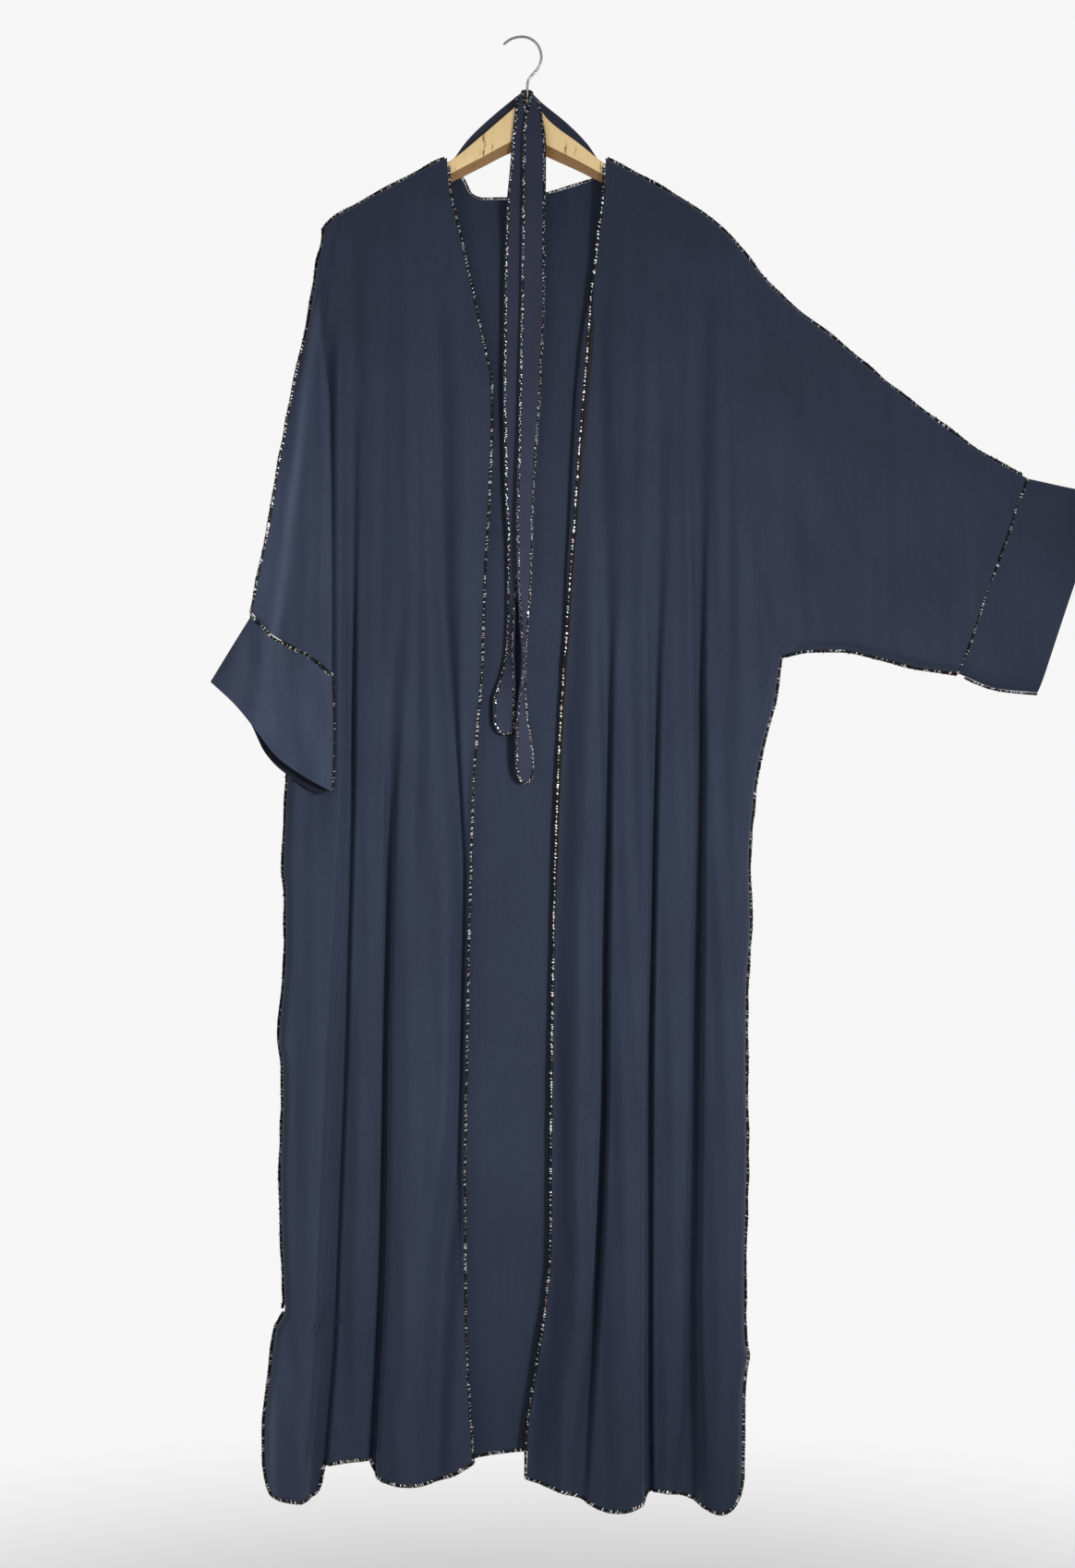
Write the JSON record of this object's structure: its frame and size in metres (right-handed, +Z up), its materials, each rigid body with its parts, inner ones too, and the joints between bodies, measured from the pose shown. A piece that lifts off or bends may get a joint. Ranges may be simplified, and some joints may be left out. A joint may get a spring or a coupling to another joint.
{
  "type": "open-front abaya on a wooden hanger",
  "caption": "Open-front batwing abaya of dark crepe with glitter edging and a tie belt, hung flat on a wooden hanger with a steel hook, the right sleeve down and the left spread.",
  "frame": {"origin": "Inside of the hook's bend, at its top, where a rail or nail would lie", "axes": "+Z is up, the garment's front looks along -Y, +X is the wearer's left, where the spread sleeve is"},
  "size_m": [0.9766, 0.0602, 1.6177],
  "materials": {
    "crepe": "matt crepe, fine weave with a slight sheen on the folds",
    "edging": "overlocked edging in black yarn twisted with silver and gold glitter thread",
    "wood": "clear-varnished pale wood, worn at the edges",
    "steel": "bright steel wire"
  },
  "bodies": {
    "root": {"back": "crepe", "front_right": "crepe", "front_left": "crepe", "cuff_right": "crepe", "cuff_left": "crepe", "belt_right_strip": "crepe", "belt_loop": "crepe", "belt_left_strip": "crepe", "hanging_loops": "crepe", "edging_front_right": "edging", "edging_front_left": "edging", "edging_back_hem": "edging", "edging_neck": "edging", "edging_arm_left": "edging", "edging_arm_right": "edging", "edging_side_left": "edging", "edging_side_right": "edging", "edging_cuff_seam_right": "edging", "edging_cuff_seam_left": "edging", "edging_cuff_right": "edging", "edging_cuff_left": "edging", "hanger": "wood", "hook": "steel"}
  },
  "joints": []
}
